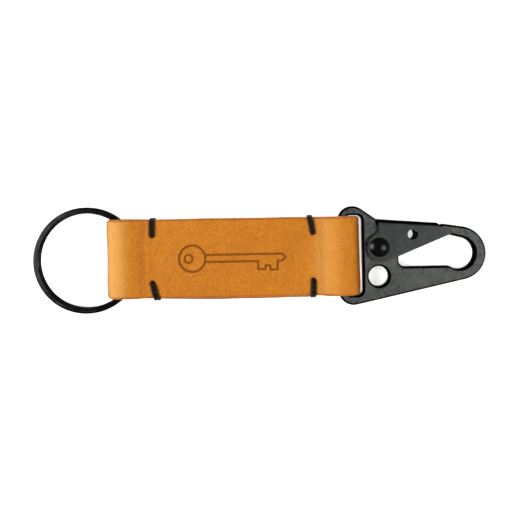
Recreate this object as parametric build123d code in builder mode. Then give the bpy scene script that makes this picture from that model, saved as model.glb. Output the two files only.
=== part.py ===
from build123d import *
import math
import os

# Leather key organiser: a folded and hand-stitched leather strap with a split
# ring in one fold and a flat snap hook in the other.
# Frame: X runs from the ring to the hook, Y across the strap, Z up.
# The whole object is centred on X and Y and stands on Z = 0.

os.makedirs("parts", exist_ok=True)

# ---------------------------------------------------------------- dimensions
# strap
STRAP_LENGTH = 83.6          # fold to fold, outside
STRAP_WIDTH = 26.0
LEATHER = 1.8                # thickness of the strip
FOLD_BORE = 2.2              # inside radius of each fold
CROWN_SPAN = 5.9             # nearly level stretch behind each fold
CROWN_RADIUS = 40.0
KNEE_RADIUS = 4.0
HEEL_RADIUS = 3.0
FALL_ANGLE = 30.0            # steepest slope down to the stitches
CORNER_RADIUS = 0.9          # corners of the strap seen from above
RING_STITCH_INSET = 15.45    # stitch holes from the end of each fold
HOOK_STITCH_INSET = 15.5
STITCH_DEPTH = 5.4           # stitch hole from the long edge
STITCH_HOLE = 0.98           # radius

# stitching thread
THREAD = 0.45                # radius
THREAD_GAP = 0.06
TAIL_SWING = 1.0             # the cut end, sideways and inwards
TAIL_REACH = 2.2

# split ring
RING_OUTER = 17.5
RING_WIDTH = 2.0
TURN_HEIGHT = 1.04
TURN_GAP = 0.06
WIRE_ROUND = 0.4
CROSSOVER = 40.0             # degrees taken by the step between the turns
END_GAP = 1.5                # degrees between a wire end and the step
RING_SET = 6.46              # ring centre outside the strap's end

# hook plate, measured from the axis of the bar the strap goes round
PLATE = 3.0
BAR_SET = 5.6                # bar axis inside the strap's end
BAR_HALF = 1.5
EYE_TOP = 11.45              # centres of the round corners of the strap eye
EYE_BOTTOM = -11.6
EYE_RADIUS = 4.75
SLOT_FAR = 6.4
SLOT_HALF = 13.15
SLOT_CORNER = 1.8
BAR_CORNER = 0.7             # the slot's corners at the bar, clear of the turning strap
PLATE_ROUND = 0.8
NOSE_X = 38.0
NOSE_Y = 0.1
NOSE_OUTER = 8.85
NOSE_INNER = 5.2
KEY_HOLE = (11.6, -7.0)
KEY_HOLE_RADIUS = 3.3

# gate, a folded sheet channel over the plate
PIVOT = (11.66, 2.6)
BOSS = (12.35, 2.5)          # centre of the gate's round end, a little off the rivet
GATE_SHEET = 1.0
GATE_PLAY = 0.12             # between each cheek and the plate
GATE_BOSS = 4.75
GATE_BEND = 1.4
GATE_LEFT = 11.4
GATE_HOLE = (22.48, 6.6)
GATE_HOLE_RADIUS = 1.6
GATE_BORE = 1.68

# rivet
SHANK = 1.6
HEAD_RADIUS = 3.15
HEAD_HEIGHT = 1.15
HEAD_PLAY = 0.05

# gate spring
SPRING_WIRE = 0.22           # radius
SPRING_MEAN = 2.3
SPRING_TURNS = 2
SPRING_RISE = 1.12
SPRING_BASE = -1.22          # lowest turn, from the middle of the plate
SPRING_LEG = (19.3, 9.8)     # end of the leg that bears on the gate
SPRING_TAIL = 3.3
POCKET_RADIUS = 2.8
POCKET_DEPTH = 1.75

# ------------------------------------------------------------- derived values
MID_Z = FOLD_BORE + LEATHER
OVERALL = RING_OUTER + RING_SET + STRAP_LENGTH - BAR_SET + NOSE_X + NOSE_OUTER
STRAP_LEFT = -OVERALL / 2 + RING_OUTER + RING_SET
STRAP_RIGHT = STRAP_LEFT + STRAP_LENGTH
STRAP_CENTRE = (STRAP_LEFT + STRAP_RIGHT) / 2
RING_X = STRAP_LEFT - RING_SET
BAR_X = STRAP_RIGHT - BAR_SET
HALF_WIDTH = STRAP_WIDTH / 2
RING_STITCH_X = STRAP_LEFT + RING_STITCH_INSET
HOOK_STITCH_X = STRAP_RIGHT - HOOK_STITCH_INSET
CHEEK_IN = PLATE / 2 + GATE_PLAY
CHEEK_OUT = CHEEK_IN + GATE_SHEET
HOOK = Plane((BAR_X, 0, MID_Z))
CROWN_TURN = math.degrees(math.asin(CROWN_SPAN / CROWN_RADIUS))
KNEE_TURN = FALL_ANGLE - CROWN_TURN


def polar(centre, radius, angle):
    """Point on a circle, the angle in degrees from +X."""
    turn = math.radians(angle)
    return (centre[0] + radius * math.cos(turn), centre[1] + radius * math.sin(turn))


# --------------------------------------------------------------------- strap
# heights of one leather surface above the middle plane, and where it levels out
HEEL_INNER = HEEL_RADIUS + LEATHER
CROWN_DROP = CROWN_RADIUS * (1 - math.cos(math.radians(CROWN_TURN)))
KNEE_DROP = KNEE_RADIUS * (math.cos(math.radians(CROWN_TURN)) - math.cos(math.radians(FALL_ANGLE)))
HEEL_DROP = HEEL_INNER * (1 - math.cos(math.radians(FALL_ANGLE)))
RUN_DROP = FOLD_BORE - CROWN_DROP - KNEE_DROP - HEEL_DROP
RUN = RUN_DROP / math.sin(math.radians(FALL_ANGLE))
KNEE_SPAN = KNEE_RADIUS * (math.sin(math.radians(FALL_ANGLE)) - math.sin(math.radians(CROWN_TURN)))
HEEL_SPAN = HEEL_INNER * math.sin(math.radians(FALL_ANGLE))
RUN_SPAN = RUN * math.cos(math.radians(FALL_ANGLE))
LEVEL = MID_Z + CROWN_SPAN + KNEE_SPAN + RUN_SPAN + HEEL_SPAN


def fold_side(start, way, offset, heel_turn, fold_radius):
    """Surface of one fold, from the level stretch round the end and back."""
    heel = HEEL_INNER - offset
    a = JernArc(start, (way * math.cos(math.radians(FALL_ANGLE - heel_turn)),
                        math.sin(math.radians(FALL_ANGLE - heel_turn))),
                heel, way * heel_turn)
    b = Line(a @ 1, a @ 1 + (a % 1) * RUN)
    c = JernArc(b @ 1, b % 1, KNEE_RADIUS + offset, -way * KNEE_TURN)
    d = JernArc(c @ 1, c % 1, CROWN_RADIUS + offset, -way * CROWN_TURN)
    e = JernArc(d @ 1, d % 1, fold_radius, -way * 180)
    f = JernArc(e @ 1, e % 1, CROWN_RADIUS + offset, -way * CROWN_TURN)
    g = JernArc(f @ 1, f % 1, KNEE_RADIUS + offset, -way * KNEE_TURN)
    h = Line(g @ 1, g @ 1 + (g % 1) * RUN)
    k = JernArc(h @ 1, h % 1, heel, way * heel_turn)
    return a @ 0, k @ 1


LEVEL_LEFT = STRAP_LEFT + LEVEL
LEVEL_RIGHT = STRAP_RIGHT - LEVEL
PINCH_TURN = 22.0            # the hollow stops short of its sharp end
PINCH_X = HEEL_INNER * math.sin(math.radians(FALL_ANGLE - PINCH_TURN))
PINCH_Z = HEEL_INNER * (1 - math.cos(math.radians(FALL_ANGLE - PINCH_TURN)))

with BuildPart() as leather_strap:
    with BuildSketch(Plane.XZ):
        with BuildLine():
            left = fold_side((LEVEL_LEFT, MID_Z + LEATHER), -1, LEATHER, FALL_ANGLE, MID_Z)
            right = fold_side((LEVEL_RIGHT, MID_Z + LEATHER), 1, LEATHER, FALL_ANGLE, MID_Z)
            Line(left[0], right[0])
            Line(left[1], right[1])
        make_face()
        with BuildLine():
            ends = fold_side((LEVEL_LEFT - PINCH_X, MID_Z + PINCH_Z), -1, 0, PINCH_TURN, FOLD_BORE)
            Line(ends[0], ends[1])
        make_face(mode=Mode.SUBTRACT)
        with BuildLine():
            ends = fold_side((LEVEL_RIGHT + PINCH_X, MID_Z + PINCH_Z), 1, 0, PINCH_TURN, FOLD_BORE)
            Line(ends[0], ends[1])
        make_face(mode=Mode.SUBTRACT)
    extrude(amount=HALF_WIDTH, both=True)
    # rounded corners seen from above
    with BuildSketch(Plane.XY):
        with Locations((STRAP_CENTRE, 0)):
            RectangleRounded(STRAP_LENGTH, STRAP_WIDTH, CORNER_RADIUS)
    extrude(amount=2 * MID_Z, mode=Mode.INTERSECT)
    # the joint line between the two layers, and where the ends of the strip meet
    with Locations((STRAP_CENTRE, HALF_WIDTH, MID_Z), (STRAP_CENTRE, -HALF_WIDTH, MID_Z)):
        Box(LEVEL_RIGHT - LEVEL_LEFT, 0.7, 0.16, mode=Mode.SUBTRACT)
    with Locations((STRAP_CENTRE, 0, MID_Z - LEATHER)):
        Box(0.3, STRAP_WIDTH + 2, 2 * LEATHER - 0.4, mode=Mode.SUBTRACT)
    # four stitch holes through both layers
    with Locations([(x, y, MID_Z)
                    for x in (RING_STITCH_X, HOOK_STITCH_X)
                    for y in (HALF_WIDTH - STITCH_DEPTH, STITCH_DEPTH - HALF_WIDTH)]):
        Cylinder(STITCH_HOLE, 4 * LEATHER, mode=Mode.SUBTRACT)
leather_strap.part.label = "leather_strap"
export_step(leather_strap.part, "parts/leather_strap.step")


# ------------------------------------------------------------------ stitches
def stitch_route(x, side, lean, spread):
    """Two wraps of one thread: up the hole, over the edge, back underneath."""
    reach = THREAD + THREAD_GAP
    inner = side * (HALF_WIDTH - STITCH_DEPTH)
    outer = side * (HALF_WIDTH + reach)
    top = MID_Z + LEATHER + reach
    bottom = MID_Z - LEATHER - reach
    step = THREAD + 0.02
    return [
        (x - step, inner, MID_Z - 0.9),
        (x - step, inner, top),
        (x + lean - spread, outer, top),
        (x + lean - spread, outer, bottom),
        (x + step, inner, bottom),
        (x + step, inner, top),
        (x + lean + spread, outer, top),
        (x + lean + spread, outer, bottom),
        (x + lean + spread + TAIL_SWING, outer - side * TAIL_REACH, bottom),
    ]


STITCHES = {
    "stitch_ring_top": (RING_STITCH_X, 1, 0.1, 0.52),
    "stitch_ring_bottom": (RING_STITCH_X, -1, 1.3, 0.75),
    "stitch_hook_top": (HOOK_STITCH_X, 1, -0.9, 0.5),
    "stitch_hook_bottom": (HOOK_STITCH_X, -1, -0.2, 0.55),
}

for name, (x, side, lean, spread) in STITCHES.items():
    route = stitch_route(x, side, lean, spread)
    with BuildPart() as stitch:
        with BuildLine() as path:
            FilletPolyline(*route, radius=0.5)
        with BuildSketch(Plane(origin=route[0], z_dir=(0, 0, 1))):
            Circle(THREAD)
        sweep(path=path.wires()[0])
    stitch.part.label = name
    export_step(stitch.part, f"parts/{name}.step")


# ---------------------------------------------------------------- split ring
WIRE_MEAN = RING_OUTER - RING_WIDTH / 2
LAYER = (TURN_HEIGHT + TURN_GAP) / 2
FLAT_ARC = 360 - CROSSOVER - END_GAP
RING_AXIS = Axis((RING_X, 0, MID_Z), (0, 0, 1))


def wire_plane(angle, height):
    """Plane across the wire, X outwards and Y up."""
    turn = math.radians(angle)
    outward = Vector(math.cos(turn), math.sin(turn), 0)
    centre = Vector(RING_X, 0, MID_Z + height) + outward * WIRE_MEAN
    return Plane(centre, x_dir=outward, z_dir=(math.sin(turn), -math.cos(turn), 0))


with BuildPart() as split_ring:
    with BuildSketch(wire_plane(CROSSOVER / 2, LAYER)):
        RectangleRounded(RING_WIDTH, TURN_HEIGHT, WIRE_ROUND)
    revolve(axis=RING_AXIS, revolution_arc=FLAT_ARC)
    with BuildSketch(wire_plane(CROSSOVER / 2 + END_GAP, -LAYER)):
        RectangleRounded(RING_WIDTH, TURN_HEIGHT, WIRE_ROUND)
    revolve(axis=RING_AXIS, revolution_arc=FLAT_ARC)
    for step in range(9):
        share = step / 8
        with BuildSketch(wire_plane(CROSSOVER * (share - 0.5), -LAYER * math.cos(math.pi * share))):
            RectangleRounded(RING_WIDTH, TURN_HEIGHT, WIRE_ROUND)
    loft()
split_ring.part.label = "split_ring"
export_step(split_ring.part, "parts/split_ring.step")


# ----------------------------------------------------------------- hook body
BOTTOM_SLOPE = 12.25
TOP_SLOPE = 7.7
SHOULDER_SLOPE = 35.7
eye_top = (EYE_RADIUS - BAR_HALF, EYE_TOP)
eye_bottom = (EYE_RADIUS - BAR_HALF, EYE_BOTTOM)
nose = (NOSE_X, NOSE_Y)
shoulder = polar(eye_top, EYE_RADIUS, 90 - SHOULDER_SLOPE)
shoulder_x = GATE_LEFT - 0.12
shoulder_y = shoulder[1] - (shoulder_x - shoulder[0]) * math.tan(math.radians(SHOULDER_SLOPE))
PIVOT_REACH = 7.6            # the plate under the gate stays inside this radius
TIP_REACH = 21.04            # and the nose's tongue outside this one
step_y = PIVOT[1] + math.sqrt(PIVOT_REACH ** 2 - (PIVOT[0] - shoulder_x) ** 2)
tongue_top = polar(PIVOT, TIP_REACH, 18.7)
tongue_low = polar(PIVOT, TIP_REACH, 11.9)
ARM_TOP = -4.0
arm_angle = math.degrees(math.asin((ARM_TOP - NOSE_Y) / NOSE_INNER))

with BuildPart() as hook_body:
    with BuildSketch(HOOK.offset(-PLATE / 2)) as outline:
        with BuildLine():
            Line((-BAR_HALF, EYE_BOTTOM), (-BAR_HALF, EYE_TOP))
            ThreePointArc((-BAR_HALF, EYE_TOP), polar(eye_top, EYE_RADIUS, 117), shoulder)
            Line(shoulder, (shoulder_x, shoulder_y))
            Line((shoulder_x, shoulder_y), (shoulder_x, step_y))
            ThreePointArc((shoulder_x, step_y), polar(PIVOT, PIVOT_REACH, 80), polar(PIVOT, PIVOT_REACH, 65))
            Line(polar(PIVOT, PIVOT_REACH, 65), (18.2, 5.0))
            Line((18.2, 5.0), (18.15, -1.8))
            ThreePointArc((18.15, -1.8), (18.8, -3.35), (20.35, ARM_TOP))
            Line((20.35, ARM_TOP), polar(nose, NOSE_INNER, 180 - arm_angle))
            ThreePointArc(polar(nose, NOSE_INNER, 180 - arm_angle), polar(nose, NOSE_INNER, 0),
                          polar(nose, NOSE_INNER, 71))
            Line(polar(nose, NOSE_INNER, 71), tongue_low)
            ThreePointArc(tongue_low, polar(PIVOT, TIP_REACH, 15.3), tongue_top)
            Line(tongue_top, (33.0, 9.8))
            Line((33.0, 9.8), polar(nose, NOSE_OUTER, 90 - TOP_SLOPE))
            ThreePointArc(polar(nose, NOSE_OUTER, 90 - TOP_SLOPE), polar(nose, NOSE_OUTER, 0),
                          polar(nose, NOSE_OUTER, BOTTOM_SLOPE - 90))
            Line(polar(nose, NOSE_OUTER, BOTTOM_SLOPE - 90),
                 polar(eye_bottom, EYE_RADIUS, BOTTOM_SLOPE - 90))
            ThreePointArc(polar(eye_bottom, EYE_RADIUS, BOTTOM_SLOPE - 90),
                          polar(eye_bottom, EYE_RADIUS, 225), (-BAR_HALF, EYE_BOTTOM))
        make_face()
        with Locations(((BAR_HALF + SLOT_FAR) / 2, 0)):
            Rectangle(SLOT_FAR - BAR_HALF, 2 * SLOT_HALF, mode=Mode.SUBTRACT)
        with Locations(KEY_HOLE):
            Circle(KEY_HOLE_RADIUS, mode=Mode.SUBTRACT)
        # round the outline's own corners before the faces' edges
        corners = {
            (shoulder_x, shoulder_y): 0.9,
            (shoulder_x, step_y): 0.8,
            polar(PIVOT, PIVOT_REACH, 65): 1.2,
            (18.2, 5.0): 1.5,
            (33.0, 9.8): 2.5,
            tongue_top: 0.9,
            tongue_low: 0.9,
            polar(nose, NOSE_INNER, 180 - arm_angle): 1.5,
            (SLOT_FAR, SLOT_HALF): SLOT_CORNER,
            (SLOT_FAR, -SLOT_HALF): SLOT_CORNER,
            (BAR_HALF, SLOT_HALF): BAR_CORNER,
            (BAR_HALF, -SLOT_HALF): BAR_CORNER,
        }
        for spot, radius in corners.items():
            fillet(outline.vertices().sort_by_distance((*spot, 0))[0], radius)
    extrude(amount=PLATE)
    fillet(hook_body.faces().filter_by(Axis.Z).edges(), PLATE_ROUND)
    # rivet hole
    with BuildSketch(HOOK.offset(-PLATE / 2)):
        with Locations(PIVOT):
            Circle(SHANK + 0.02)
    extrude(amount=PLATE, mode=Mode.SUBTRACT)
    # spring pocket in the back face, open towards the inside of the gate
    with BuildSketch(HOOK.offset(-PLATE / 2)):
        with Locations(PIVOT):
            Circle(POCKET_RADIUS)
        with BuildLine():
            Polyline(polar(PIVOT, 2.0, 120), polar(PIVOT, 9.5, 72), polar(PIVOT, 9.5, -8),
                     polar(PIVOT, 2.0, -60), polar(PIVOT, 2.0, 120))
        make_face()
        with BuildLine():
            Polyline(polar(PIVOT, 1.5, 150), polar(PIVOT, 3.9, 172), polar(PIVOT, 4.6, 195),
                     polar(PIVOT, 4.6, 238), polar(PIVOT, 1.5, 300), polar(PIVOT, 1.5, 150))
        make_face()
    extrude(amount=POCKET_DEPTH, mode=Mode.SUBTRACT)
hook_body.part.label = "hook_body"
export_step(hook_body.part, "parts/hook_body.step")


# ---------------------------------------------------------------------- gate
FOLD_SLOPE = -4.5
fold_left = (GATE_LEFT, 11.75)
fold_right = (30.6, 11.75 + (30.6 - GATE_LEFT) * math.tan(math.radians(FOLD_SLOPE)))
LOWER_SLOPE = 22.1
boss_low = polar(BOSS, GATE_BOSS, LOWER_SLOPE - 90)
tip_low = (34.9, boss_low[1] + (34.9 - boss_low[0]) * math.tan(math.radians(LOWER_SLOPE)))
boss_left = polar(BOSS, GATE_BOSS, 114)
inner_left = (4.0, fold_left[1] - GATE_SHEET - (4.0 - GATE_LEFT) * math.tan(math.radians(-FOLD_SLOPE)))
inner_right = (31.0, fold_left[1] - GATE_SHEET - (31.0 - GATE_LEFT) * math.tan(math.radians(-FOLD_SLOPE)))

with BuildPart() as gate:
    with BuildSketch(HOOK.offset(-CHEEK_OUT)):
        with BuildLine():
            Line(fold_left, fold_right)
            ThreePointArc(fold_right, (31.0, 9.85), (31.4, 8.95))
            Line((31.4, 8.95), (34.5, 8.5))
            ThreePointArc((34.5, 8.5), (35.4, 7.4), tip_low)
            Line(tip_low, boss_low)
            ThreePointArc(boss_low, polar(BOSS, GATE_BOSS, 180), boss_left)
            ThreePointArc(boss_left, (11.17, 7.4), (GATE_LEFT, 8.1))
            Line((GATE_LEFT, 8.1), fold_left)
        make_face()
    extrude(amount=2 * CHEEK_OUT)
    # bend along the fold
    fillet(gate.edges().filter_by(lambda e: abs(e.length - (Vector(*fold_right) - Vector(*fold_left)).length) < 0.01
                                  and e.center().Y > 10.5), GATE_BEND)
    # inside of the channel
    with BuildSketch(HOOK.offset(-CHEEK_IN)):
        with BuildLine():
            Polyline(inner_left, inner_right, (31.0, 14.0), (40.0, 14.0), (40.0, -6.0), (4.0, -6.0), inner_left)
        make_face()
    extrude(amount=2 * CHEEK_IN, mode=Mode.SUBTRACT)
    with BuildSketch(HOOK.offset(-CHEEK_OUT)):
        with Locations(PIVOT):
            Circle(GATE_BORE)
        with Locations(GATE_HOLE):
            Circle(GATE_HOLE_RADIUS)
    extrude(amount=2 * CHEEK_OUT, mode=Mode.SUBTRACT)
    # softened rims of the small hole
    rims = gate.edges().filter_by(GeomType.CIRCLE)
    rims = rims.filter_by(lambda e: abs(e.radius - GATE_HOLE_RADIUS) < 0.01
                          and abs(abs(e.center().Z - MID_Z) - CHEEK_OUT) < 0.01)
    fillet(rims, 0.15)
gate.part.label = "gate"
export_step(gate.part, "parts/gate.step")


# --------------------------------------------------------------------- rivet
RIM = 0.2
DOME = HEAD_HEIGHT - RIM
SPHERE = (HEAD_RADIUS ** 2 + DOME ** 2) / (2 * DOME)
seat = CHEEK_OUT + HEAD_PLAY
half_x = SPHERE * math.sin(math.asin(HEAD_RADIUS / SPHERE) / 2)
half_z = seat + HEAD_HEIGHT - SPHERE + SPHERE * math.cos(math.asin(HEAD_RADIUS / SPHERE) / 2)
RIVET_PLANE = Plane(origin=(BAR_X + PIVOT[0], PIVOT[1], MID_Z), x_dir=(1, 0, 0), z_dir=(0, -1, 0))

with BuildPart() as gate_rivet:
    with BuildSketch(RIVET_PLANE):
        with BuildLine():
            Line((0, seat + HEAD_HEIGHT), (0, -seat - HEAD_HEIGHT))
            ThreePointArc((0, -seat - HEAD_HEIGHT), (half_x, -half_z), (HEAD_RADIUS, -seat - RIM))
            Polyline((HEAD_RADIUS, -seat - RIM), (HEAD_RADIUS, -seat), (SHANK, -seat),
                     (SHANK, seat), (HEAD_RADIUS, seat), (HEAD_RADIUS, seat + RIM))
            ThreePointArc((HEAD_RADIUS, seat + RIM), (half_x, half_z), (0, seat + HEAD_HEIGHT))
        make_face()
    revolve(axis=Axis((BAR_X + PIVOT[0], PIVOT[1], MID_Z), (0, 0, 1)))
gate_rivet.part.label = "gate_rivet"
export_step(gate_rivet.part, "parts/gate_rivet.step")


# --------------------------------------------------------------- gate spring
# a coil round the rivet with one leg against the gate and a short tail
leg_reach = math.hypot(SPRING_LEG[0] - PIVOT[0], SPRING_LEG[1] - PIVOT[1])
leg_angle = math.degrees(math.atan2(SPRING_LEG[1] - PIVOT[1], SPRING_LEG[0] - PIVOT[0]))
leg_leaves = leg_angle + math.degrees(math.acos(SPRING_MEAN / leg_reach))
tail_joins = 174.0
coil_turn = tail_joins - leg_leaves + 360 * SPRING_TURNS
coil_pitch = SPRING_RISE / (coil_turn / 360)
coil_base = (BAR_X + PIVOT[0], PIVOT[1], MID_Z + SPRING_BASE)


def coil_point(radius, angle, height):
    """Point about the rivet's axis, height above the lowest turn."""
    return (coil_base[0] + radius * math.cos(math.radians(angle)),
            coil_base[1] + radius * math.sin(math.radians(angle)), coil_base[2] + height)


tail_joint = coil_point(SPRING_MEAN, tail_joins, 0)
tail_tip = coil_point(math.hypot(SPRING_MEAN, SPRING_TAIL),
                      tail_joins + math.degrees(math.atan2(SPRING_TAIL, SPRING_MEAN)), 0)
leg_joint = coil_point(SPRING_MEAN, leg_leaves, SPRING_RISE)
leg_tip = coil_point(leg_reach, leg_angle, SPRING_RISE)
coil = Helix(coil_pitch, SPRING_RISE, SPRING_MEAN, lefthand=True, mode=Mode.PRIVATE)
coil = coil.rotate(Axis.Z, tail_joins).moved(Location(coil_base))

with BuildPart() as gate_spring:
    with BuildLine() as wire:
        Line(tail_tip, tail_joint)
        add(coil)
        Line(leg_joint, leg_tip)
    with BuildSketch(Plane(origin=tail_tip, z_dir=Vector(*tail_joint) - Vector(*tail_tip))):
        Circle(SPRING_WIRE)
    sweep(path=wire.wires()[0], is_frenet=True)
gate_spring.part.label = "gate_spring"
export_step(gate_spring.part, "parts/gate_spring.step")
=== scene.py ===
import bpy
import math
import numpy as np
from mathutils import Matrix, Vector


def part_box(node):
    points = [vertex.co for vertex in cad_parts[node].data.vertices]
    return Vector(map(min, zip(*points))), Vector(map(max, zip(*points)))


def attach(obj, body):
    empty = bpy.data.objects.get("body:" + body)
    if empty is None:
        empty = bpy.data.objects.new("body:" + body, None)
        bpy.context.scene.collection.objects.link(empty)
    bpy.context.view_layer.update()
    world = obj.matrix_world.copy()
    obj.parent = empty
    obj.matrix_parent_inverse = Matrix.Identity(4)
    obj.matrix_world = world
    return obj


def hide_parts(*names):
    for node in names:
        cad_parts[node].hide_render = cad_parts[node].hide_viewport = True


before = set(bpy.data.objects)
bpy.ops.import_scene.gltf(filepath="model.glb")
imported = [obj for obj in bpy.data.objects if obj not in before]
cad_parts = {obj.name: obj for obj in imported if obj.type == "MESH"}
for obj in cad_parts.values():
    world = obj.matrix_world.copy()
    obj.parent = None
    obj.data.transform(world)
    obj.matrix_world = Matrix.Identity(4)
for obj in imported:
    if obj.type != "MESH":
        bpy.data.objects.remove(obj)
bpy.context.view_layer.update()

MM = 0.001
# black oxide on steel brightens little at a glancing angle
BLACKENED = {"Metallic": 1.0, "Specular Tint": (0.35, 0.35, 0.35, 1.0)}

# ------------------------------------------------------- sizes, in mm, from the frame
strap_lo, strap_hi = (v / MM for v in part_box("leather_strap"))
ring_lo, ring_hi = (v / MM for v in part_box("split_ring"))
XL, XR = strap_lo.x, strap_hi.x          # the strap's ends, at the ring and at the hook
HW = strap_hi.y                          # half its width
MID = (strap_lo.z + strap_hi.z) / 2
XC = (XL + XR) / 2
T = 1.8                                  # leather thickness
BORE = MID - T                           # inside radius of each fold
RING = ((ring_lo.x + ring_hi.x) / 2, (ring_lo.y + ring_hi.y) / 2)


def smooth(v):
    v = np.clip(v, 0.0, 1.0)
    return v * v * (3 - 2 * v)


def waves(u, v, seed, length, count=7):
    """Smooth seeded undulation, about -1 to 1, with features of that length in mm."""
    r = np.random.default_rng(seed)
    out = np.zeros(np.broadcast(u, v).shape)
    for _ in range(count):
        turn = r.uniform(0, 2 * math.pi)
        k = 2 * math.pi / (length * r.uniform(0.7, 1.6))
        out = out + np.sin(k * (u * math.cos(turn) + v * math.sin(turn)) + r.uniform(0, 6.28))
    return out / math.sqrt(count) / 1.4


# ------------------------------------------------------------------ materials
def new_material(name):
    mat = bpy.data.materials.new(name)
    mat.use_nodes = True
    tree = mat.node_tree
    for n in list(tree.nodes):
        tree.nodes.remove(n)
    return mat, tree


class Graph:
    """Short spelling for building a node tree."""

    def __init__(self, tree):
        self.tree = tree

    def node(self, kind, **settings):
        n = self.tree.nodes.new(kind)
        inputs = settings.pop("inputs", {})
        for k, v in settings.items():
            setattr(n, k, v)
        for k, v in inputs.items():
            self.put(n, k, v)
        return n

    def put(self, n, key, value):
        socket = n.inputs[key]
        if isinstance(value, bpy.types.NodeSocket):
            self.tree.links.new(value, socket)
        else:
            socket.default_value = value

    def math(self, op, a, b=None, clamp=False):
        n = self.node("ShaderNodeMath", operation=op, use_clamp=clamp)
        self.put(n, 0, a)
        if b is not None:
            self.put(n, 1, b)
        return n.outputs[0]

    def mix(self, factor, a, b):
        n = self.node("ShaderNodeMix", data_type="RGBA")
        self.put(n, "Factor", factor)
        self.put(n, 6, a)
        self.put(n, 7, b)
        return n.outputs[2]

    def span(self, value, low, high, to_low=0.0, to_high=1.0):
        n = self.node("ShaderNodeMapRange", interpolation_type="SMOOTHSTEP")
        self.put(n, "Value", value)
        self.put(n, "From Min", low)
        self.put(n, "From Max", high)
        self.put(n, "To Min", to_low)
        self.put(n, "To Max", to_high)
        return n.outputs[0]

    def noise(self, vector, scale, detail=4.0, rough=0.55, distort=0.0):
        n = self.node("ShaderNodeTexNoise")
        self.put(n, "Vector", vector)
        self.put(n, "Scale", scale)
        self.put(n, "Detail", detail)
        self.put(n, "Roughness", rough)
        self.put(n, "Distortion", distort)
        return n.outputs["Fac"]

    def attribute(self, name):
        return self.node("ShaderNodeAttribute", attribute_name=name).outputs["Fac"]

    def bump(self, height, distance, strength=1.0, normal=None):
        n = self.node("ShaderNodeBump")
        self.put(n, "Strength", strength)
        self.put(n, "Distance", distance)
        self.put(n, "Height", height)
        if normal is not None:
            self.put(n, "Normal", normal)
        return n.outputs[0]

    def surface(self, colour, rough, normal=None, fixed=None):
        """The shader and the output; fixed holds what is the same all over the surface."""
        bsdf = self.node("ShaderNodeBsdfPrincipled")
        self.put(bsdf, "Base Color", colour)
        self.put(bsdf, "Roughness", rough)
        if normal is not None:
            self.put(bsdf, "Normal", normal)
        for key, value in (fixed or {}).items():
            bsdf.inputs[key].default_value = value
        self.put(self.node("ShaderNodeOutputMaterial"), "Surface", bsdf.outputs[0])


def rgb(r, g, b):
    """sRGB 0-255 to a linear colour."""
    def lin(c):
        c = c / 255
        return c / 12.92 if c < 0.04045 else ((c + 0.055) / 1.055) ** 2.4
    return (lin(r), lin(g), lin(b), 1.0)


# how fine each part of the leather's surface is, in features per metre
CLOUDS, MOTTLES, PORES, PEBBLES, WRINKLES = 60.0, 420.0, 1250.0, 1500.0, 4200.0
GRAIN_DEPTH = 0.00017                    # m
PEBBLE_STRAY = (0.00022, 0.00022, 0.00022)           # m, so that the pebbles aren't straight-sided


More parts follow.
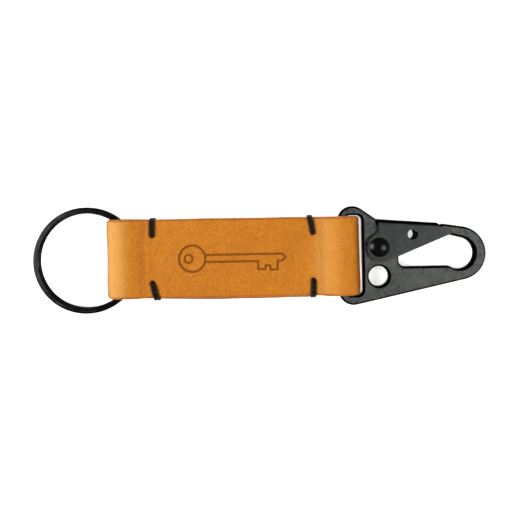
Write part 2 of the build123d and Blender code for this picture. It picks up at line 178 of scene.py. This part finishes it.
def leather_material():
    mat, tree = new_material("tan_leather")
    g = Graph(tree)
    place = g.node("ShaderNodeTexCoord").outputs["Object"]
    edge = g.attribute("edge")
    pressed = g.attribute("pressed")
    flesh = g.attribute("flesh")
    painted_highlight = g.attribute("painted_highlight")
    thread_dark = g.attribute("thread_dark")
    # colour: dye clouds, mottling, pores
    cloud = g.noise(place, CLOUDS, 4.0, 0.55, 0.3)
    blotch = g.noise(place, MOTTLES, 5.0, 0.62)
    speck = g.noise(place, PORES, 3.0, 0.7)
    colour = g.mix(g.span(cloud, 0.32, 0.68), rgb(212, 124, 8), rgb(222, 133, 16))
    colour = g.mix(g.span(blotch, 0.40, 0.70, 0.0, 0.55), colour, rgb(202, 114, 8))
    colour = g.mix(g.span(speck, 0.52, 0.70, 0.0, 0.6), colour, rgb(180, 98, 6))
    colour = g.mix(g.span(speck, 0.46, 0.30, 0.0, 0.6), colour, rgb(238, 158, 48))
    # painted highlight, paler over the ring fold's crown and up the slope towards the hook
    colour = g.mix(g.math("MULTIPLY", painted_highlight, 0.8), colour, rgb(252, 184, 90))
    # darker where pressed, at the stitch holes and along the threads, and along the burnished edges, with
    # painted shade on the folds' ends
    colour = g.mix(g.math("MULTIPLY", pressed, 0.78), colour, rgb(104, 64, 8))
    colour = g.mix(g.math("MULTIPLY", thread_dark, 0.75), colour, rgb(88, 44, 10))
    # the edge mask holds real burnish along the long edges and painted shade on the folds' ends
    burnish_and_shade = g.math("MULTIPLY", edge, g.span(g.noise(place, 500.0), 0.3, 0.7, 0.6, 0.95))
    colour = g.mix(burnish_and_shade, colour, rgb(156, 86, 22))
    fibres = g.span(g.noise(place, 1400.0, 6.0, 0.7), 0.35, 0.65)
    fluff = g.mix(fibres, rgb(196, 140, 84), rgb(164, 106, 56))
    colour = g.mix(flesh, colour, fluff)
    # grain: pebbles with creases between them, over finer wrinkles
    wander = g.noise(place, 700.0, 2.0, 0.5)
    offset = g.node("ShaderNodeVectorMath", operation="MULTIPLY_ADD")
    stray = g.node("ShaderNodeTexNoise", inputs={"Vector": place, "Scale": 900.0})
    g.put(offset, 0, stray.outputs["Color"])
    offset.inputs[1].default_value = PEBBLE_STRAY
    g.put(offset, 2, place)
    pebble = g.node("ShaderNodeTexVoronoi", feature="DISTANCE_TO_EDGE",
                    inputs={"Vector": offset.outputs[0], "Scale": PEBBLES}).outputs["Distance"]
    crease = g.span(pebble, 0.0, 0.24)
    fine = g.noise(place, WRINKLES, 5.0, 0.65)
    height = g.math("ADD", g.math("MULTIPLY", crease, 0.5), g.math("MULTIPLY", fine, 0.6))
    height = g.math("ADD", height, g.math("MULTIPLY", wander, 0.9))
    hush = g.span(edge, 0.0, 1.0, 1.0, 0.25)
    normal = g.bump(g.math("MULTIPLY", height, hush), GRAIN_DEPTH, 1.0)
    rough = g.span(fine, 0.3, 0.7, 0.35, 0.47)
    rough = g.math("ADD", rough, g.math("MULTIPLY", flesh, 0.3))
    rough = g.math("SUBTRACT", rough, g.math("MULTIPLY", edge, 0.1), clamp=True)
    g.surface(colour, rough, normal, {"Specular IOR Level": 0.26})
    return mat


def thread_material():
    mat, tree = new_material("waxed_thread")
    g = Graph(tree)
    place = g.node("ShaderNodeTexCoord").outputs["Object"]
    groove = g.attribute("groove")
    along = g.attribute("along")
    around = g.attribute("around")
    both = g.node("ShaderNodeCombineXYZ", inputs={"X": along, "Y": around}).outputs[0]
    fibre = g.noise(both, 1.0, 4.0, 0.6)
    wax = g.noise(place, 1500.0, 4.0, 0.6)
    colour = g.mix(g.span(fibre, 0.35, 0.7), rgb(6, 6, 6), rgb(20, 20, 20))
    # painted shade in the grooves between the plies
    colour = g.mix(groove, colour, rgb(5, 5, 5))
    colour = g.mix(g.span(wax, 0.55, 0.75, 0.0, 0.5), colour, rgb(52, 52, 54))
    rough = g.span(wax, 0.3, 0.7, 0.18, 0.36)
    g.surface(colour, rough, g.bump(fibre, 0.00008, 1.0), {"Specular IOR Level": 0.22})
    return mat


def facing(g, axis):
    """How far a face looks along one of the object's own axes, -1 to 1."""
    normal = g.node("ShaderNodeTexCoord").outputs["Normal"]
    return g.node("ShaderNodeSeparateXYZ", inputs={0: normal}).outputs[axis]


def flatness(g):
    """1 on faces square to the object's own Z, 0 on walls and rounded edges."""
    return g.math("ABSOLUTE", facing(g, 2))


def coated_steel(name, face, bare, edge, rough_range, grain, turn=(0.86, 0.985), edge_glint=0.0):
    """Black oxide on steel: grey on the flats, with painted shade making it blacker round the edges, a fine
    sandy grain.
    turn is the flatness where the painted black of the edges ends, rubbed how bright a painted highlight
    makes the edge facing -Y."""
    mat, tree = new_material(name)
    g = Graph(tree)
    place = g.node("ShaderNodeTexCoord").outputs["Object"]
    cloud = g.noise(place, 190.0, 5.0, 0.62, 0.5)
    speck = g.noise(place, 2400.0, 4.0, 0.65)
    peel = g.noise(place, 2600.0, 3.0, 0.6)
    colour = g.mix(g.span(cloud, 0.35, 0.7), rgb(*face[0]), rgb(*face[1]))
    colour = g.mix(g.span(speck, 0.54, 0.76, 0.0, 0.7), colour, rgb(*bare))
    # painted shade: rounded edges and walls take a near-black colour that stands in for dark reflections
    flat = g.span(flatness(g), turn[0], turn[1])
    wander = g.span(g.noise(place, 900.0, 3.0, 0.6), 0.3, 0.7, 0.9, 1.0)
    # painted highlight: the edges facing -Y are paler, as if catching light
    rim = g.mix(g.span(facing(g, 1), -0.35, -0.8, 0.0, edge_glint), rgb(*edge), rgb(215, 215, 212))
    colour = g.mix(g.math("MULTIPLY", flat, wander), rim, colour)
    gloss = g.math("ADD", g.math("MULTIPLY", cloud, 0.6), g.math("MULTIPLY", speck, 0.4))
    rough = g.span(gloss, 0.36, 0.64, *rough_range)
    normal = g.bump(peel, grain, 0.8)
    normal = g.bump(speck, grain * 2.2, 0.6, normal)
    g.surface(colour, rough, normal, BLACKENED)
    return mat


def ring_material():
    """Black oxide spring wire, drawn and wound, so its marks run round the ring."""
    mat, tree = new_material("black_ring_wire")
    g = Graph(tree)
    place = g.node("ShaderNodeTexCoord").outputs["Object"]
    shifted = g.node("ShaderNodeVectorMath", operation="SUBTRACT")
    g.put(shifted, 0, place)
    shifted.inputs[1].default_value = (RING[0] * MM, RING[1] * MM, MID * MM)
    apart = g.node("ShaderNodeSeparateXYZ", inputs={0: shifted.outputs[0]})
    radius = g.math("SQRT", g.math("ADD", g.math("POWER", apart.outputs[0], 2.0),
                                   g.math("POWER", apart.outputs[1], 2.0)))
    angle = g.math("ARCTAN2", apart.outputs[1], apart.outputs[0])
    drawn = g.node("ShaderNodeCombineXYZ", inputs={"X": radius, "Y": g.math("MULTIPLY", angle, 0.0004),
                                                   "Z": apart.outputs[2]}).outputs[0]
    lines = g.noise(drawn, 5200.0, 3.0, 0.6)
    cloud = g.noise(place, 260.0, 4.0, 0.6)
    colour = g.mix(g.span(lines, 0.35, 0.7), rgb(20, 20, 20), rgb(46, 46, 46))
    scuff = g.math("MULTIPLY", g.span(lines, 0.58, 0.70), g.span(cloud, 0.48, 0.68))
    colour = g.mix(g.math("MULTIPLY", scuff, 0.6), colour, rgb(110, 110, 108))
    g.surface(colour, g.span(cloud, 0.3, 0.7, 0.12, 0.2), g.bump(lines, 0.000016, 0.8), BLACKENED)
    return mat


def spring_material():
    mat, tree = new_material("spring_steel")
    g = Graph(tree)
    place = g.node("ShaderNodeTexCoord").outputs["Object"]
    streak = g.noise(place, 3000.0, 4.0, 0.6)
    colour = g.mix(g.span(streak, 0.3, 0.7), rgb(120, 120, 122), rgb(176, 176, 178))
    g.surface(colour, g.span(streak, 0.3, 0.7, 0.22, 0.38), g.bump(streak, 0.00001, 0.6), {"Metallic": 1.0})
    return mat


# ---------------------------------------------------------------------- strap
FALL = 30.0                              # degrees, the slope inside from a fold down to the flat
CROWN_SPAN, CROWN_R, KNEE_R, HEEL_R = 5.9, 40.0, 4.0, 3.0
CROWN_TURN = math.degrees(math.asin(CROWN_SPAN / CROWN_R))
KNEE_TURN = FALL - CROWN_TURN
fall, crown = math.radians(FALL), math.radians(CROWN_TURN)
HEEL_IN = HEEL_R + T
run_drop = (BORE - CROWN_R * (1 - math.cos(crown)) - KNEE_R * (math.cos(crown) - math.cos(fall))
            - HEEL_IN * (1 - math.cos(fall)))
RUN = run_drop / math.sin(fall)
LEVEL = (MID + CROWN_SPAN + KNEE_R * (math.sin(fall) - math.sin(crown)) + RUN * math.cos(fall)
         + HEEL_IN * math.sin(fall))
SEAM = 0.03                              # half the gap between the strip's two ends, at the back
EDGE_ROUND = 0.62                        # rounding of the long edges
FOLD_CORNER = 1.1                        # rounding of each fold's corners, seen from above
RING_SLOPE, HOOK_SLOPE = (4.2, 16.2), (6.0, 15.2)    # outside, where each fold starts and ends falling
SLOPE_ZONE = (4.0, 17.0)
RING_THIN, HOOK_THIN = 0.30, 0.18        # how much the folds are stretched thinner
BACK_PROUD = 0.78                        # the back layer past the front one along the lower edge
FRONT_BULGE = 0.18
RING_ASKEW = 0.34                        # the ring's fold, sideways
EYE_CLEAR = 21.5                         # X past which the hook's eye swings by
KEY_GROOVE, KEY_SOFT, KEY_DEPTH = 0.17, 0.24, 0.34

STITCH_X = (XL + 15.45, XR - 15.5)
STITCH_Y = HW - 5.4
THREAD = 0.49                            # radius
# name, hole's x, side, how far the thread leans along X at the edge, and half the gap of its two turns there
STITCHES = [
    ("stitch_ring_top", STITCH_X[0], 1, 0.1, 0.38),
    ("stitch_ring_bottom", STITCH_X[0], -1, 1.3, 0.54),
    ("stitch_hook_top", STITCH_X[1], 1, -0.9, 0.40),
    ("stitch_hook_bottom", STITCH_X[1], -1, -0.2, 0.44),
]


def strip_path(step_for):
    """Points along the middle of the strip from one end round both folds to the other:
    rows of x, z, tangent x, tangent z."""
    half = T / 2
    heel, knee, big, fold = HEEL_R + half, KNEE_R + half, CROWN_R + half, BORE + half
    # HEEL_R is the outer face's radius, so the middle lies half a thickness further out
    rise = [("arc", heel, FALL), ("line", RUN), ("arc", knee, -KNEE_TURN), ("arc", big, -CROWN_TURN)]
    round_fold = rise + [("arc", fold, -180)] + rise[::-1]
    moves = ([("line", XC - SEAM - (XL + LEVEL))] + round_fold + [("line", XR - XL - 2 * LEVEL)] + round_fold
             + [("line", XR - LEVEL - XC - SEAM)])
    x, z, heading = XC - SEAM, MID - half, math.pi
    rows = [(x, z, math.cos(heading), math.sin(heading))]
    for move in moves:
        length = move[1] if move[0] == "line" else move[1] * abs(math.radians(move[2]))
        done = 0.0
        while done < length - 1e-9:
            step = min(step_for(x, z), length - done)
            if length - done - step < 0.04:
                step = length - done
            if move[0] == "line":
                x += step * math.cos(heading)
                z += step * math.sin(heading)
            else:
                turn = step / move[1] * (1 if move[2] > 0 else -1)
                chord = 2 * move[1] * math.sin(abs(turn) / 2)
                x += chord * math.cos(heading + turn / 2)
                z += chord * math.sin(heading + turn / 2)
                heading += turn
            done += step
            rows.append((x, z, math.cos(heading), math.sin(heading)))
    return np.array(rows)


def to_segment(x, y, a, b):
    """Distance of each point from the straight line between a and b."""
    vx, vy = b[0] - a[0], b[1] - a[1]
    t = np.clip(((x - a[0]) * vx + (y - a[1]) * vy) / (vx * vx + vy * vy), 0, 1)
    return np.hypot(x - a[0] - t * vx, y - a[1] - t * vy)


def key_outline(x, y):
    """Distance in mm from the pressed key drawing's lines: a round bow, a stem and teeth."""
    bow_x, bow_r, eye_x, eye_r = XL + 28.6, 4.3, -1.2, 1.3
    left, right = bow_x + 4.15, bow_x + 30.5
    top, point = 1.15, right - 1.1
    stem = [(left, top), (point, top), (right, 0.0), (point, -top),
            (right - 2.6, -top), (right - 2.6, -4.0), (right - 5.0, -4.0), (right - 5.0, -2.6),
            (right - 6.6, -2.6), (right - 6.6, -3.8), (right - 9.0, -3.8), (right - 9.0, -top), (left, -top)]
    d = np.abs(np.hypot(x - bow_x, y) - bow_r)
    d = np.minimum(d, np.abs(np.hypot(x - bow_x - eye_x, y) - eye_r))
    for a, b in zip(stem, stem[1:]):
        d = np.minimum(d, to_segment(x, y, a, b))
    return d


class Strip:
    """The plain strip before any shaping: rows along its path, columns round its section."""

    def __init__(self):
        path = strip_path(self.step_for)
        section_y, section_n = self.section()
        along = np.concatenate([[0], np.cumsum(np.hypot(np.diff(path[:, 0]), np.diff(path[:, 1])))])
        self.along, self.y = np.meshgrid(along, section_y, indexing="ij")
        self.x, self.z, tx, tz = (path[:, i][:, None] for i in range(4))
        self.nx, self.nz = -tz, tx                       # outwards
        self.out = np.broadcast_to(section_n, self.y.shape).copy()
        self.share = np.clip(self.out / (T / 2), -1, 1)  # 1 on the outer face, -1 on the inner one
        self.outer = np.where(self.share > 0, self.share, 0)
        self.side = np.sign(self.y)
        self.near_edge = smooth((np.abs(self.y) - 7.0) / (HW - 7.0))
        self.level = np.abs(self.z - MID) < 1.4          # the flat between the two slopes
        self.front = self.z > MID

    @staticmethod
    def step_for(x, z):
        """Closer rows under the pressed key."""
        return 0.13 if z > MID and XL + 22.0 < x < XL + 62.0 else 0.22

    @staticmethod
    def section():
        """The outer face, one rounded edge, the inner face and the other edge: y and distance outwards."""
        half, flat = T / 2, HW - EDGE_ROUND
        outer_y = np.concatenate([np.arange(-flat, -6.0, 0.28), np.arange(-6.0, 6.0, 0.13),
                                  np.arange(6.0, flat, 0.28), [flat]])
        angle = np.radians(np.linspace(90, -90, 15)[1:-1])
        side_y = flat + EDGE_ROUND * np.abs(np.cos(angle)) ** 0.75
        side_n = half * np.sign(np.sin(angle)) * np.abs(np.sin(angle)) ** 0.9
        inner_y = np.linspace(flat, -flat, 50)
        y = np.concatenate([outer_y, side_y, inner_y, -side_y[::-1]])
        n = np.concatenate([np.full(len(outer_y), half), side_n, np.full(len(inner_y), -half), side_n[::-1]])
        return y, n


def outside_slope(s):
    """Outside, each fold falls to the flat in one easy slope, longer at the ring than at the hook."""
    rise = np.zeros_like(s.y)
    level = np.abs(s.z - MID) - T / 2
    for away, (start, end) in ((s.x - XL, RING_SLOPE), (XR - s.x, HOOK_SLOPE)):
        height = BORE * smooth((end - away) / (end - start))
        here = (away > SLOPE_ZONE[0]) & (away < SLOPE_ZONE[1])
        rise = rise + np.where(here, np.sign(s.z - MID) * s.outer * (height - level), 0)
    return rise


def shaped_width(s):
    """Where each point lies across the strap, once the long edges have worn and shifted."""
    wander = 0.07 * waves(s.along, s.side * 40.0, 3, 26.0) + 0.03 * waves(s.along, s.side * 40.0, 4, 6.0)
    y = s.y + s.side * s.near_edge * (wander - 0.05)
    rim = smooth((np.abs(s.y) - 9.0) / 3.5)
    # the back layer stands proud of the front one along the lower edge, but not where the eye swings
    clear = smooth((EYE_CLEAR - s.x) / 5.0)
    y = y - BACK_PROUD * np.exp(-((s.x + 4.0) / 29.0) ** 6) * clear * (s.side < 0) * (s.z < MID) * rim
    # the front layer is widest left of the middle, and the ring's fold sits a little askew
    y = y + FRONT_BULGE * np.exp(-((s.x + 20.0) / 18.0) ** 4) * (s.side > 0) * rim
    y = y + RING_ASKEW * smooth((XL + 19.0 - s.x) / 12.0)
    # each thread bites into the edge it crosses
    for _, sx, sd, lean, _ in STITCHES:
        bite = np.exp(-((s.x - sx - lean) / 1.1) ** 2) * (s.side == sd) * s.level
        y = y - s.side * bite * s.near_edge * 0.14
    return y


def shaped_lift(s):
    """How far each point moves outwards from the plain strip."""
    # the folds' ends hollow slightly between their corners, and the corners are rounded
    in_fold = smooth((np.abs(s.nx) - 0.2) / 0.6)
    hollow = 0.22 * (np.abs(s.y) / HW) ** 2.2 - 0.12
    corner = np.clip(np.abs(s.y) - (HW - FOLD_CORNER), 0, FOLD_CORNER)
    corner_drop = FOLD_CORNER - np.sqrt(np.maximum(FOLD_CORNER ** 2 - corner ** 2, 0.05))
    lift = in_fold * (hollow - 0.7 * corner_drop)
    # leather is pressed thinner at the edges of the folds and swells between
    crown_zone = smooth((13.0 - np.minimum(s.x - XL, XR - s.x)) / 8.0)
    lift = lift + crown_zone * (0.06 - 0.16 * s.near_edge ** 2)
    # the outer face undulates, and is stretched round each fold, at the hook more on the gate's side
    ripple = 0.035 * waves(s.x + 0 * s.y, s.y, 11, 15.0) + 0.018 * waves(s.x + 0 * s.y, s.y, 12, 4.5)
    thin = np.where(s.x < XC, RING_THIN, HOOK_THIN * smooth(s.y / 10.0)) * in_fold
    return lift + s.outer * (ripple - thin)


def stitch_marks(s):
    """Depth of the dents that the threads lie in, and how dark the leather is there."""
    dent = np.zeros_like(s.y)
    thread_dark = np.zeros_like(s.y)
    mouth = (s.share > 0.9) & s.level
    for _, sx, sd, lean, spread in STITCHES:
        left, right = sx + lean - spread, sx + lean + spread
        hole_y, edge_y = sd * STITCH_Y, sd * (HW + 0.4)
        for start, end, in_front in (((sx - 0.4, hole_y), (left, edge_y), True),
                                     ((sx + 0.4, hole_y), (right, edge_y), True),
                                     ((sx + 0.4, hole_y), (left, edge_y), False),
                                     ((right + 1.0, sd * (HW - 1.7)), (right, edge_y), False)):
            d = to_segment(s.x, s.y, start, end)
            here = (s.front if in_front else ~s.front) & s.level & (s.share > -0.5)
            trench = 0.17 * np.exp(-(d / 0.5) ** 2) + 0.10 * np.exp(-(d / 1.5) ** 2)
            dent = np.maximum(dent, np.where(here, trench, 0))
            thread_dark = np.maximum(thread_dark, np.where(here, 0.8 * np.exp(-(d / 0.55) ** 4), 0))
        hole = np.hypot(s.x - sx, s.y - hole_y)
        pit = 0.85 * np.exp(-(hole / 0.62) ** 4) + 0.1 * np.exp(-(hole / 1.5) ** 2)
        dent = np.maximum(dent, np.where(mouth, pit, 0))
        thread_dark = np.maximum(thread_dark, np.where(mouth, np.exp(-(hole / 0.8) ** 4), 0))
    return dent, thread_dark


def strap_wear_and_painted_light(s):
    """Burnished edges with painted shade on the folds' ends, the fleshy inner face and a painted highlight
    over the folds, each 0 to 1.
    """
    flat = HW - EDGE_ROUND
    outside = np.where(s.share > 0, 1, 0)
    edge = smooth((np.abs(s.y) - (flat - 0.5)) / (EDGE_ROUND + 0.35))
    on_side = np.where(np.abs(s.y) > flat - 0.01, 1.0, 0)
    edge = np.where(s.share < 0.9, np.maximum(edge, on_side), edge)
    flesh = np.where(s.share < -0.95, 1.0 - edge, 0.0)
    # painted highlight on the crown of the ring's fold, and up the slope towards the hook
    crowns = np.exp(-((s.x - XL - 4.0) / 3.0) ** 2) + 0.46 * np.exp(-((s.x - XR + 11.2) / 4.6) ** 2)
    painted_highlight = np.clip(crowns, 0, 1) * outside * (1 - edge)
    # painted shade on the folds' ends, darkest at the hook's
    fold_end_shade = smooth((np.abs(s.nx) - 0.35) / 0.45) * outside
    edge = np.maximum(edge, np.where(s.x > XC, 1.0, 0.7) * fold_end_shade)
    return edge, flesh, painted_highlight


def sweep(mesh_name, object_name, points, attributes, square_ends=False):
    """A closed object from rows of section points in mm, with the attributes' numbers on its points."""
    rows, count = points.shape[:2]
    i = np.arange(rows - 1)[:, None] * count
    j = np.arange(count)[None, :]
    k = (j + 1) % count
    quads = np.stack([i + j, i + k, i + count + k, i + count + j], -1).reshape(-1, 4)
    faces = [tuple(q) for q in quads.tolist()]
    faces.append(tuple(range(count))[::-1])
    faces.append(tuple(range((rows - 1) * count, rows * count)))
    mesh = bpy.data.meshes.new(mesh_name)
    mesh.from_pydata((points.reshape(-1, 3) * MM).tolist(), [], faces)
    for number, face in enumerate(mesh.polygons):
        face.use_smooth = not (square_ends and number >= len(faces) - 2)
    for label, values in attributes.items():
        attribute = mesh.attributes.new(label, "FLOAT", "POINT")
        attribute.data.foreach_set("value", np.broadcast_to(values, (rows, count)).astype(np.float32).ravel())
    obj = bpy.data.objects.new(object_name, mesh)
    bpy.context.scene.collection.objects.link(obj)
    return obj


def build_strap():
    s = Strip()
    dent, thread_dark = stitch_marks(s)
    # burnished edges with painted shade on the folds' ends, and a painted highlight over the folds
    edge, flesh, painted_highlight = strap_wear_and_painted_light(s)
    # the pressed key, with the leather pushed up beside its groove
    on_face = (s.share > 0.95) & s.front & (np.abs(s.nx) < 0.05)
    d = key_outline(s.x + 0 * s.y, s.y)
    groove = 1 - smooth((d - KEY_GROOVE) / KEY_SOFT)
    shoulder = np.exp(-((d - 0.62) / 0.2) ** 2)
    press = np.where(on_face, -KEY_DEPTH * groove + 0.045 * shoulder, 0)
    total = shaped_lift(s) + press - dent * s.outer
    x = s.x + s.nx * (s.out + total)
    z = s.z + s.nz * (s.out + total) + outside_slope(s)
    points = np.stack([x, shaped_width(s), z], -1)
    return sweep("leather_strap_skin", "strap_leather", points,
                 {"edge": edge, "pressed": np.where(on_face, groove, 0), "flesh": flesh, "painted_highlight": painted_highlight,
                  "thread_dark": thread_dark}, square_ends=True)


# -------------------------------------------------------------------- threads
def rounded_route(points, per=14):
    """Centripetal Catmull-Rom through the points, evenly spaced along its length."""
    p = np.array([2 * np.array(points[0]) - np.array(points[1])] + [np.array(q) for q in points]
                 + [2 * np.array(points[-1]) - np.array(points[-2])], float)
    out = []
    for a, b, c, d in zip(p, p[1:], p[2:], p[3:]):
        t0, t1 = 0.0, max(np.linalg.norm(b - a) ** 0.5, 1e-4)
        t2 = t1 + max(np.linalg.norm(c - b) ** 0.5, 1e-4)
        t3 = t2 + max(np.linalg.norm(d - c) ** 0.5, 1e-4)
        for t in np.linspace(t1, t2, per, endpoint=False):
            a1 = (t1 - t) / (t1 - t0) * a + (t - t0) / (t1 - t0) * b
            a2 = (t2 - t) / (t2 - t1) * b + (t - t1) / (t2 - t1) * c
            a3 = (t3 - t) / (t3 - t2) * c + (t - t2) / (t3 - t2) * d
            b1 = (t2 - t) / (t2 - t0) * a1 + (t - t0) / (t2 - t0) * a2
            b2 = (t3 - t) / (t3 - t1) * a2 + (t - t1) / (t3 - t1) * a3
            out.append((t2 - t) / (t2 - t1) * b1 + (t - t1) / (t2 - t1) * b2)
    out.append(p[-2])
    return np.array(out)


def resample(path, step):
    seg = np.linalg.norm(np.diff(path, axis=0), axis=1)
    s = np.concatenate([[0], np.cumsum(seg)])
    n = max(int(s[-1] / step), 4)
    t = np.linspace(0, s[-1], n + 1)
    return np.stack([np.interp(t, s, path[:, i]) for i in range(3)], -1), t


LIE = 0.30                               # the thread's middle above the leather it crosses
APART = 0.30                             # each turn from the hole's middle, where it comes out
PAST_EDGE = 0.12                         # the thread's middle outside the strap's edge
PLY_SET, PLY_R = 0.40, 0.60              # three plies, each so far out and so thick, for a thread of 1
TWIST = 2.1                              # mm for one turn of the plies
CUT_TAPER = 0.25                         # the cut end's last stretch


def thread_route(sx, sd, lean, spread):
    """Out of the hole, round the edge, back up the hole and round again, to a short cut tail."""
    low, high = MID - T - LIE, MID + T + LIE
    yh, ye = STITCH_Y, HW
    at, out = APART, PAST_EDGE
    left, right = sx + lean - spread, sx + lean + spread

    def p(x, y, z):
        return (x, sd * y, z)

    return [
        p(sx - 0.30, yh - 0.10, MID - 0.7), p(sx - 0.33, yh - 0.05, MID + 0.9),
        p(sx - at, yh + 0.22, high - 0.12), p(sx - at + (left - sx + at) * 0.25, yh + 1.4, high + 0.03),
        p(sx - at + (left - sx + at) * 0.72, ye - 1.6, high + 0.02), p(left, ye - 0.42, high - 0.06),
        p(left, ye + out, MID + 1.1), p(left + 0.02, ye + out + 0.05, MID),
        p(left + 0.04, ye + out, MID - 1.1), p(left + 0.10, ye - 0.42, low + 0.06),
        p(sx + at + (left - sx - at) * 0.62, ye - 1.8, low - 0.02),
        p(sx + at + (left - sx - at) * 0.2, yh + 1.2, low - 0.02), p(sx + at, yh + 0.2, low + 0.12),
        p(sx + 0.36, yh - 0.05, MID - 0.9), p(sx + 0.36, yh - 0.05, MID + 0.9),
        p(sx + at, yh + 0.22, high - 0.10), p(sx + at + (right - sx - at) * 0.25, yh + 1.3, high + 0.05),
        p(sx + at + (right - sx - at) * 0.72, ye - 1.6, high + 0.03), p(right, ye - 0.42, high - 0.05),
        p(right, ye + out, MID + 1.1), p(right - 0.02, ye + out + 0.05, MID), p(right, ye + out, MID - 1.1),
        p(right + 0.12, ye - 0.42, low + 0.06), p(right + 0.52, ye - 1.05, low - 0.02),
        p(right + 0.95, ye - 1.7, low + 0.03),
    ]


def carried_sides(path):
    """Two directions square to the path at each point, carried along it without twisting."""
    tangent = np.gradient(path, axis=0)
    tangent /= np.linalg.norm(tangent, axis=1)[:, None]
    side = np.zeros_like(path)
    first = np.cross(tangent[0], (1.0, 0.0, 0.0))
    side[0] = first / np.linalg.norm(first)
    for i in range(1, len(path)):
        v = side[i - 1] - tangent[i] * np.dot(side[i - 1], tangent[i])
        side[i] = v / np.linalg.norm(v)
    return side, np.cross(tangent, side)


def build_thread(name, sx, sd, lean, spread):
    """Three plies twisted into one waxed thread, along its route."""
    path, t = resample(rounded_route(thread_route(sx, sd, lean, spread)), 0.055)
    side, other = carried_sides(path)
    theta = np.linspace(0, 2 * math.pi, 30, endpoint=False)[None, :]
    twist = (2 * math.pi * t / TWIST)[:, None]
    lobe = (theta - twist) % (2 * math.pi / 3) - math.pi / 3
    ply = PLY_SET * np.cos(lobe) + np.sqrt(PLY_R ** 2 - (PLY_SET * np.sin(lobe)) ** 2)
    to_end = np.clip((t[-1] - t) / CUT_TAPER, 0, 1)
    taper = np.where(t > t[-1] - CUT_TAPER, 0.75 + 0.25 * np.sqrt(to_end), 1.0)
    r = THREAD * 1.02 * ply * taper[:, None]
    points = (path[:, None, :] + side[:, None, :] * (r * np.cos(theta))[..., None]
              + other[:, None, :] * (r * np.sin(theta))[..., None])
    return sweep(name + "_thread", name.replace("stitch", "thread"), points,
                 {"groove": smooth((0.88 - ply) / 0.16), "along": t[:, None] * 2.2, "around": lobe * 9.0})


leather = leather_material()
strap = build_strap()
strap.data.materials.append(leather)
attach(strap, "strap")
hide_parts("leather_strap")

waxed = thread_material()
for spec in STITCHES:
    thread = build_thread(*spec)
    thread.data.materials.append(waxed)
    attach(thread, "strap")
    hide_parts(spec[0])


def dress(node, material):
    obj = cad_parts[node]
    obj.data.materials.clear()
    obj.data.materials.append(material)


# each edge colour is painted shade round the parts' rounded edges and walls
plate = coated_steel("black_plate", face=((74, 76, 74), (90, 92, 89)), bare=(126, 128, 124), edge=(7, 7, 7),
                     rough_range=(0.26, 0.32), grain=0.00012, turn=(0.965, 0.999))
sheet = coated_steel("black_gate", face=((62, 64, 63), (76, 78, 76)), bare=(90, 92, 90), edge=(10, 10, 10),
                     rough_range=(0.40, 0.50), grain=0.00004, turn=(0.93, 0.997), edge_glint=0.8)
head = coated_steel("black_rivet", face=((36, 36, 36), (46, 46, 46)), bare=(60, 60, 60), edge=(36, 36, 36),
                    rough_range=(0.17, 0.26), grain=0.000005)
dress("hook_body", plate)
dress("gate", sheet)
dress("gate_rivet", head)
dress("split_ring", ring_material())
dress("gate_spring", spring_material())


# ---------------------------------------------------------- floor, light, camera
def floor_material():
    mat, tree = new_material("pale_paper")
    g = Graph(tree)
    place = g.node("ShaderNodeTexCoord").outputs["Object"]
    fibre = g.noise(place, 900.0, 3.0, 0.6)
    colour = g.mix(fibre, (0.93, 0.93, 0.93, 1), (0.95, 0.95, 0.95, 1))
    g.surface(colour, 0.95, fixed={"Specular IOR Level": 0.05, "Emission Color": (1.0, 1.0, 1.0, 1.0),
                                   "Emission Strength": 0.65})
    return mat


FLOOR_REACH = 4.0                        # m each way
FLOOR_GAP = 0.00002                      # m under the strap's folds
mesh = bpy.data.meshes.new("floor")
corners = [(x * FLOOR_REACH, y * FLOOR_REACH, 0) for x, y in ((-1, -1), (1, -1), (1, 1), (-1, 1))]
mesh.from_pydata(corners, [], [(0, 1, 2, 3)])
floor = bpy.data.objects.new("floor", mesh)
floor.location.z = -FLOOR_GAP
mesh.materials.append(floor_material())
bpy.context.scene.collection.objects.link(floor)

# the studio is pale round the horizon and dim above, where the softboxes hang
world = bpy.data.worlds.new("studio")
bpy.context.scene.world = world
world.use_nodes = True
sky = Graph(world.node_tree)
looking = sky.node("ShaderNodeTexCoord").outputs["Generated"]
upward = sky.node("ShaderNodeSeparateXYZ", inputs={0: looking}).outputs[2]
background = world.node_tree.nodes["Background"]
background.inputs[0].default_value = (1, 1, 1, 1)
sky.put(background, "Strength", sky.span(upward, 0.10, 0.42, 0.92, 0.2))


def softbox(name, at, size, energy):
    light = bpy.data.lights.new(name, "AREA")
    light.shape = "RECTANGLE"
    light.size, light.size_y = size
    light.energy = energy
    obj = bpy.data.objects.new(name, light)
    obj.location = at
    obj.rotation_euler = (Vector((0, 0, 0)) - Vector(at)).to_track_quat("-Z", "Y").to_euler()
    bpy.context.scene.collection.objects.link(obj)


softbox("key_left", (-0.57, 0.05, 0.60), (0.40, 0.40), 5.15)
softbox("right_sheen", (0.50, -0.10, 0.63), (0.28, 0.40), 2.1)

camera_data = bpy.data.cameras.new("camera")
camera = bpy.data.objects.new("camera", camera_data)
bpy.context.scene.collection.objects.link(camera)
bpy.context.scene.camera = camera
DISTANCE = 155.0                       # mm, above the object's middle plane
VIEW_WIDTH = 171.9                     # mm of that plane across the picture
ROLL = -1.15                           # degrees
OFF_AXIS = -0.087                      # the lens looks at a point above the picture's middle
MIDDLE = (0.23, -1.00)                 # mm, the frame point at the picture's middle
SENSOR = 36.0
camera_data.sensor_width = SENSOR
camera_data.lens = SENSOR * DISTANCE / VIEW_WIDTH
camera_data.clip_start = 0.01
camera_data.shift_y = OFF_AXIS
roll = math.radians(ROLL)
rise = OFF_AXIS * VIEW_WIDTH
camera.location = Vector((MIDDLE[0] + math.sin(roll) * rise, MIDDLE[1] - math.cos(roll) * rise,
                          MID + DISTANCE)) * MM
camera.rotation_euler = (0, 0, roll)
bpy.context.scene.view_settings.view_transform = "Standard"
